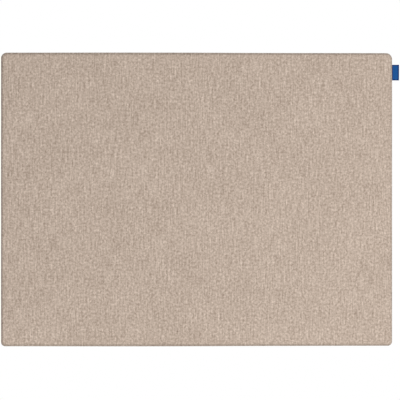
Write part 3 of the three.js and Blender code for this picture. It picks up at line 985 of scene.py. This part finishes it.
# Liner: dark cloth with its edge folded under, stapled over the turned-in cover
liner = {
    "cloth": 0.00034,
    "hem": 0.008,
    "lapDepth": 0.00427,  # middle of the cloth where it lies on the turned-in cover
    "hemDepth": 0.00470,
    "flatDepth": 0.00538,  # and where it lies on the frame
    "hemShares": (1.0, 0.6, 0.3),
    "lapInsets": (0.0175, 0.0185, 0.0195, 0.021, 0.0225),
    "ramp": (0.0235, 0.0265),
    "flatInsets": (0.030, 0.036),
    "sag": 0.00022,
    "sagInsets": (0.026, 0.05),  # where it starts to sag, and where it sags in full
    "railZ": 0.026,  # the middle of the rail that lies on it
    "railSag": (0.020, 0.045),  # and the same, away from that and from a bumper's middle
    "bumperSag": (0.010, 0.025),
    "grid": 0.012,
    "bondPitch": (2.2, 1.6),  # of the cloth's bond points, in millimetres
    "scallop": 0.00010,
    "scallopReach": 0.006,
    "stapleInset": 0.0185,
    "staplePitch": 0.045,
    "stapleWidth": 0.0105,
    "stapleTurn": radians(3),
    "stapleShift": 0.0012,
    "wire": 0.00035,
    "wireFlat": (1.3, 0.8),  # its width and thickness, as shares of the wire's
    # from a leg to the middle, as (share of half the width, way down from the top)
    "stapleWay": ((1.0, 0.0016), (1.0, 0.0006), (0.97, 0.0001), (0.9, 0.0)),
}
linerInset = faceHigh.x - linerHigh.x
bumperX, bumperZ = centreOf("bumper_right")
linerRim = outlineAt(boardShape, liner["stapleInset"])
linerRuns = runsRound(linerRim)
stapleCount = round(linerRuns[-1] / liner["staplePitch"])


def linerCloth():
    shader = newFinish("linerCloth", {"Roughness": 0.9, "Specular IOR Level": 0.2})
    place = inMillimetres(shader, threads=True)
    x, z, _ = parted(place)
    # bond points in staggered rows, pressed into a mat of fine fibres
    halfX, halfZ = (pitch / 2 for pitch in liner["bondPitch"])
    row = calc("FLOOR", calc("MULTIPLY_ADD", z, 1 / (2 * halfZ), 0.5))
    odd = calc("FLOORED_MODULO", row, 2.0)
    dotX = calc("PINGPONG", calc("MULTIPLY_ADD", odd, halfX, x), halfX)
    dotZ = calc("PINGPONG", z, halfZ)
    away = calc("ADD", calc("POWER", dotX, 2.0), calc("POWER", dotZ, 2.0))
    raised = ranged(away, 0.05, 0.22)
    mat = placeGroup("shortFibre", place, {"Fineness": 1.6, "Patch contrast": 0.12})
    plain = mixed(mat["Tone"], colour(46, 47, 49), colour(74, 75, 78))
    tint(shader, raised, colour(36, 37, 39), plain)
    bump(shader, calc("MULTIPLY_ADD", mat["Height"], 0.5, raised), 0.0002, 0.6)


linerCloth()


def linerSag(x, z):
    # the cloth hangs free between frame and staples, and lies flat under the rail and the bumpers
    onRail = smoothStep(abs(z + middleZ - liner["railZ"]), *liner["railSag"])
    onBumper = smoothStep(hypot(abs(x) - bumperX, z + middleZ - bumperZ), *liner["bumperSag"])
    soft = 0.5 + 0.35 * ruffle(x, z, 0.16, 9.0) + 0.15 * ruffle(x, z, 0.05, 10.0)
    inside = min(boardShape["halfX"] - abs(x), boardShape["halfZ"] - abs(z))
    return liner["sag"] * soft * min(onRail, onBumper) * smoothStep(inside, *liner["sagInsets"])


def stretchLiner():
    lap, hem, flat = liner["lapDepth"], liner["hemDepth"], liner["flatDepth"]
    rampFrom, rampTo = liner["ramp"]
    bend = (hem - lap) / 2
    edge = linerInset + bend
    stations = level([edge + share * liner["hem"] for share in liner["hemShares"]], hem, 1.0)
    stations += bendRound(edge, (hem + lap) / 2, bend, bend, 5, pi / 2, -pi / 2)
    stations += level(liner["lapInsets"], lap, -1.0)
    for share in (0.0, 0.25, 0.5, 0.75, 1.0):
        inset = rampFrom + (rampTo - rampFrom) * share
        stations.append((inset, lap + (flat - lap) * smoothStep(share, 0, 1), 0.0, -1.0))
    stations += level(liner["flatInsets"], flat, -1.0)

    def lift(x, z, column, number):
        # pressed in at each staple, and sagging further in
        inset, _, _, front = stations[number]
        if front > -0.5:
            return 0.0
        phase = linerRuns[column] / linerRuns[-1] * stapleCount * 2 * pi
        near = exp(-(((inset - liner["stapleInset"]) / liner["scallopReach"]) ** 2))
        held = liner["scallop"] * (0.5 + 0.5 * cos(phase)) * near
        return -held - (linerSag(x, z) if inset > liner["sagInsets"][0] else 0.0)

    cap = {"grid": liner["grid"], "lift": linerSag}
    return thickened(wrap("liner", boardShape, stations, lift, lastCap=cap), liner["cloth"], 0.0)


def driveStaples():
    dice = random.Random(11)
    half, wire = liner["stapleWidth"] / 2, liner["wire"]
    top = liner["lapDepth"] - liner["cloth"] / 2 - wire * 0.7
    wide, thick = (wire * share for share in liner["wireFlat"])
    route = [Vector((-half * share, down)) for share, down in liner["stapleWay"]]
    route += [Vector((-at.x, at.y)) for at in reversed(route)]
    corners, shape = [corner * pi / 3 for corner in range(6)], []
    for at, point in enumerate(route):
        run = (route[min(at + 1, len(route) - 1)] - route[max(at - 1, 0)]).normalized()
        for angle in corners:
            side, over = wide * cos(angle), thick * sin(angle)
            shape.append((point.x - run.y * over, top + point.y + run.x * over, side))
    places, faces = [], []
    for number in range(stapleCount):
        target = number / stapleCount * linerRuns[-1]
        column = min(range(len(linerRim)), key=lambda at: abs(linerRuns[at] - target))
        x, z, outX, outZ = linerRim[column]
        if abs(outX * outZ) > 0.02:
            # it would sit in a corner
            continue
        turn = dice.gauss(0, liner["stapleTurn"])
        alongX = -outZ * cos(turn) - outX * sin(turn)
        alongZ = outX * cos(turn) - outZ * sin(turn)
        shift = dice.uniform(-liner["stapleShift"], liner["stapleShift"])
        x, z = x + middleX + outX * shift, z + middleZ + outZ * shift
        faces += barFaces(len(corners), len(route), start=len(places))
        for along, depth, side in shape:
            atX, atZ = x + alongX * along - alongZ * side, z + alongZ * along + alongX * side
            places.append((atX, -depth, atZ))
    return facingOut(newMesh("staples", places, faces))


linerSheet = addPiece("liner_cloth", stretchLiner(), "linerCloth", "back_fleece", "back_liner")
staples = addPiece("liner_staples", driveStaples(), "zincSteel", "zinc_steel")
print("liner stretched with", stapleCount, "staples")


# Rails: one hooked aluminium section, on the wall and turned over on the board
rails = {
    "stock": 0.002,
    "leg": 0.020,
    "lip": 0.012,
    "lipGap": 0.0008,
    "chamfer": 0.0006,
    "ease": 0.00022,
    "slotPitch": 0.150,
    "slotLength": 0.018,
    "slotWidth": 0.008,
    "screwHole": 0.00205,
    "wallCut": (-0.001, 0.0026),  # the depths that holes are cut through
    "boardCut": (0.002, 0.007),
}


def railSection(back, foot, way):
    # its leg lies at the depth back, and its lip clear of that; way is 1 on the wall, -1 on the board
    stock, leg, lip, chamfer = rails["stock"], rails["leg"], rails["lip"], rails["chamfer"]
    lipBack = stock + rails["lipGap"]
    lipFront = lipBack + stock
    section = [(0, -leg), (stock, -leg), (stock, -stock), (lipFront, -stock)]
    section += [(lipFront, lip - chamfer), (lipFront - chamfer, lip)]
    section += [(lipBack + chamfer, lip), (lipBack, lip - chamfer), (lipBack, 0), (0, 0)]
    return [(back + way * depth, foot + way * z) for depth, z in section]


def slotOutline(x, z):
    half, radius = (rails["slotLength"] - rails["slotWidth"]) / 2, rails["slotWidth"] / 2
    outline = []
    for side in (1, -1):
        for step in range(17):
            angle = (step / 16 - 0.5) * pi
            reach, rise = half + radius * cos(angle), radius * sin(angle)
            outline.append((x + side * reach, z + side * rise))
    return outline


def roundOutline(x, z, radius, sides=24):
    turns = [2 * pi * step / sides for step in range(sides)]
    return [(x + radius * cos(turn), z + radius * sin(turn)) for turn in turns]


def rollRail(node, body, section, holes, fromDepth, toDepth):
    low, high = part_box(node)
    cutters = [drawnThrough("hole", outline, fromDepth, toDepth) for outline in holes]
    mesh = eased(cutOut(drawnAcross(node, section, low.x, high.x), cutters), rails["ease"])
    addPiece(node + "_extrusion", mesh, "drawnAluminium", "rail_aluminium", node, body=body)


hangerScrews = [f"hanger_screw_{number}" for number in range(1, 7)]
bumperScrews = ["bumper_screw_left", "bumper_screw_right"]
wallLow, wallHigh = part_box("wall_rail")
slotPlaces = [((number - 1.5) * rails["slotPitch"], wallLow.z + rails["leg"] / 2) for number in range(4)]
slots = [slotOutline(x, z) for x, z in slotPlaces]
wallSection = railSection(0.0, wallHigh.z - rails["lip"], 1)
rollRail("wall_rail", "wall", wallSection, slots, *rails["wallCut"])
hangerLow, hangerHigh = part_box("hanger_rail")
holes = [roundOutline(*centreOf(node), rails["screwHole"]) for node in hangerScrews]
hangerSection = railSection(-hangerLow.y, hangerLow.z + rails["lip"], -1)
rollRail("hanger_rail", "board", hangerSection, holes, *rails["boardCut"])
print("rails rolled")


# Pan-head screws with a cross recess, and the rubber bumpers
screw = {
    "shank": 0.00175,
    "headHeight": 0.0022,
    "crown": ((0.0, 0.0), (0.0012, 0.00004), (0.0021, 0.00018), (0.0028, 0.00045)),
    "rim": ((0.0033, 0.0009), (0.00356, 0.0014), (0.0036, 0.0018), (0.00358, 0.0020), (0.00345, 0.0022)),
    "point": 0.003,
    "recess": 0.0021,
    "arm": (0.0021, 0.00052),
    "armEnd": (0.0005, 0.00026),
    "segments": 40,
}
bumper = {
    "radius": 0.009,
    "foot": 0.0082,
    "ease": 0.0007,
    "bore": 0.0044,
    "floor": 0.0016,
    "hole": 0.00205,
    "edge": 0.0002,
}


def crossRing(arm, half, depth):
    corners = []
    for quarter in range(4):
        angle = quarter * pi / 2
        for along, side in ((half, -half), (arm, -half), (arm, half)):
            x = along * cos(angle) - side * sin(angle)
            z = along * sin(angle) + side * cos(angle)
            corners.append((x, -depth, z))
    return corners


def turnScrew(length):
    # the top of the head lies at depth 0 and the seat at the head's height
    tip = screw["headHeight"] + length
    profile = list(screw["crown"] + screw["rim"])
    profile += [(screw["shank"], screw["headHeight"]), (screw["shank"], tip - screw["point"])]
    profile += [(0.0003, tip), (0.0, tip)]
    rings = crossRing(*screw["arm"], -0.0003), crossRing(*screw["armEnd"], screw["recess"])
    mesh = cutOut(turned("screw", profile, screw["segments"]), [bar("recess", *rings)])
    mesh.set_sharp_from_angle(angle=radians(40))
    return mesh


def driveScrew(node, dice):
    low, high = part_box(node)
    x, z = centreOf(node)
    mesh = turnScrew(high.y - low.y - screw["headHeight"])
    turn = Matrix.Rotation(dice.uniform(0, pi / 2), 4, "Y")
    mesh.transform(Matrix.Translation((x, high.y, z)) @ turn)
    addPiece(node + "_pan_head", mesh, "zincSteel", "zinc_steel", node)


def turnBumper(node):
    low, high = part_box(node)
    x, z = centreOf(node)
    seat, ease = -low.y, bumper["ease"]
    foot, bore, hole = bumper["foot"], bumper["bore"], bumper["hole"]
    radius, floor, edge = bumper["radius"], seat - bumper["floor"], bumper["edge"]
    quarter = [pi / 2 * step / 5 for step in range(6)]
    profile = [(hole, seat), (radius - edge, seat), (radius, seat - edge)]
    profile += [(foot - ease + ease * cos(turn), ease - ease * sin(turn)) for turn in quarter]
    profile += [(bore + ease * (1 - sin(turn)), ease * (1 - cos(turn))) for turn in quarter]
    profile += [(bore, floor - edge), (bore - edge, floor), (hole, floor)]
    mesh = turned("bumper", profile, 64, closed=True)
    mesh.set_sharp_from_angle(angle=radians(40))
    mesh.transform(Matrix.Translation((x, high.y, z)))
    addPiece(node + "_rubber", mesh, "bumperRubber", "bumper_rubber", node)


screwDice = random.Random(5)
for node in hangerScrews + bumperScrews:
    driveScrew(node, screwDice)
for node in ("bumper_left", "bumper_right"):
    turnBumper(node)
print("screws and bumpers fitted")


# Solids that stay as they are, by the starts of their names, with the finish of their stuff
kept = {
    "pineAcross": ("top_rail", "bottom_rail"),
    "pineUpright": ("left_stile", "right_stile", "centre_brace", "brace_dowel"),
    "pressedFibre": ("pin_panel",),
    "zincSteel": ("corner_plate", "corner_screw"),
}
for finish, starts in kept.items():
    solids = [solid for name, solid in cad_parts.items() if name.startswith(starts)]
    for slot in [slot for solid in solids for slot in solid.material_slots]:
        slot.material = bpy.data.materials[finish]
print("frame finished")


# Studio
studio = {
    "ambient": 0.27,
    "lamps": {  # each with its place from the board's middle, its size and its power
        "key": ((4.0, -7.6, -0.45), 2.0, 532),
        "back_0": ((-1.0, 1.6, 2.9), 1.4, 62),
        "back_1": ((1.6, 2.9, 1.6), 1.4, 62),
    },
    "floorDrop": 0.6,
    "floorRadius": 2.3,
}


def setWorld():
    world = bpy.data.worlds.new("studio")
    bpy.context.scene.world = world
    world.use_nodes = True
    tree = world.node_tree
    rays = tree.nodes.new("ShaderNodeLightPath").outputs
    seen = calc("MAXIMUM", rays["Is Camera Ray"], rays["Is Glossy Ray"])
    seen = calc("MAXIMUM", seen, rays["Is Transmission Ray"])
    background = tree.nodes["Background"]
    background.inputs["Color"].default_value = (1, 1, 1, 1)
    feed(background.inputs["Strength"], ranged(seen, 0.0, 1.0, studio["ambient"], 1.0))


def addLamp(name, place, size, power):
    data = bpy.data.lights.new(name, "AREA")
    data.shape, data.size, data.energy = "DISK", size, power
    lamp = newObject(name, data)
    lamp.location = Vector((middleX, 0, middleZ)) + Vector(place)
    lookAlong(lamp, -Vector(place))
    lamp.visible_camera = False


def layFloor():
    disc = bmesh.new()
    bmesh.ops.create_circle(disc, cap_ends=True, radius=studio["floorRadius"], segments=96)
    mesh = bpy.data.meshes.new("floor")
    disc.to_mesh(mesh)
    disc.free()
    floor = newObject("floor", mesh)
    floor.location = (middleX, 0, faceLow.z - studio["floorDrop"])
    shader = newFinish("paleFloor", {"Roughness": 0.9, "Specular IOR Level": 0.1})
    speckle = cloud(inMillimetres(shader), 0.02, 3.0)
    tint(shader, speckle, colour(244, 244, 243), colour(249, 249, 248))
    mesh.materials.append(bpy.data.materials["paleFloor"])


setWorld()
for name, given in studio["lamps"].items():
    addLamp(name, *given)
layFloor()
print("studio lit")
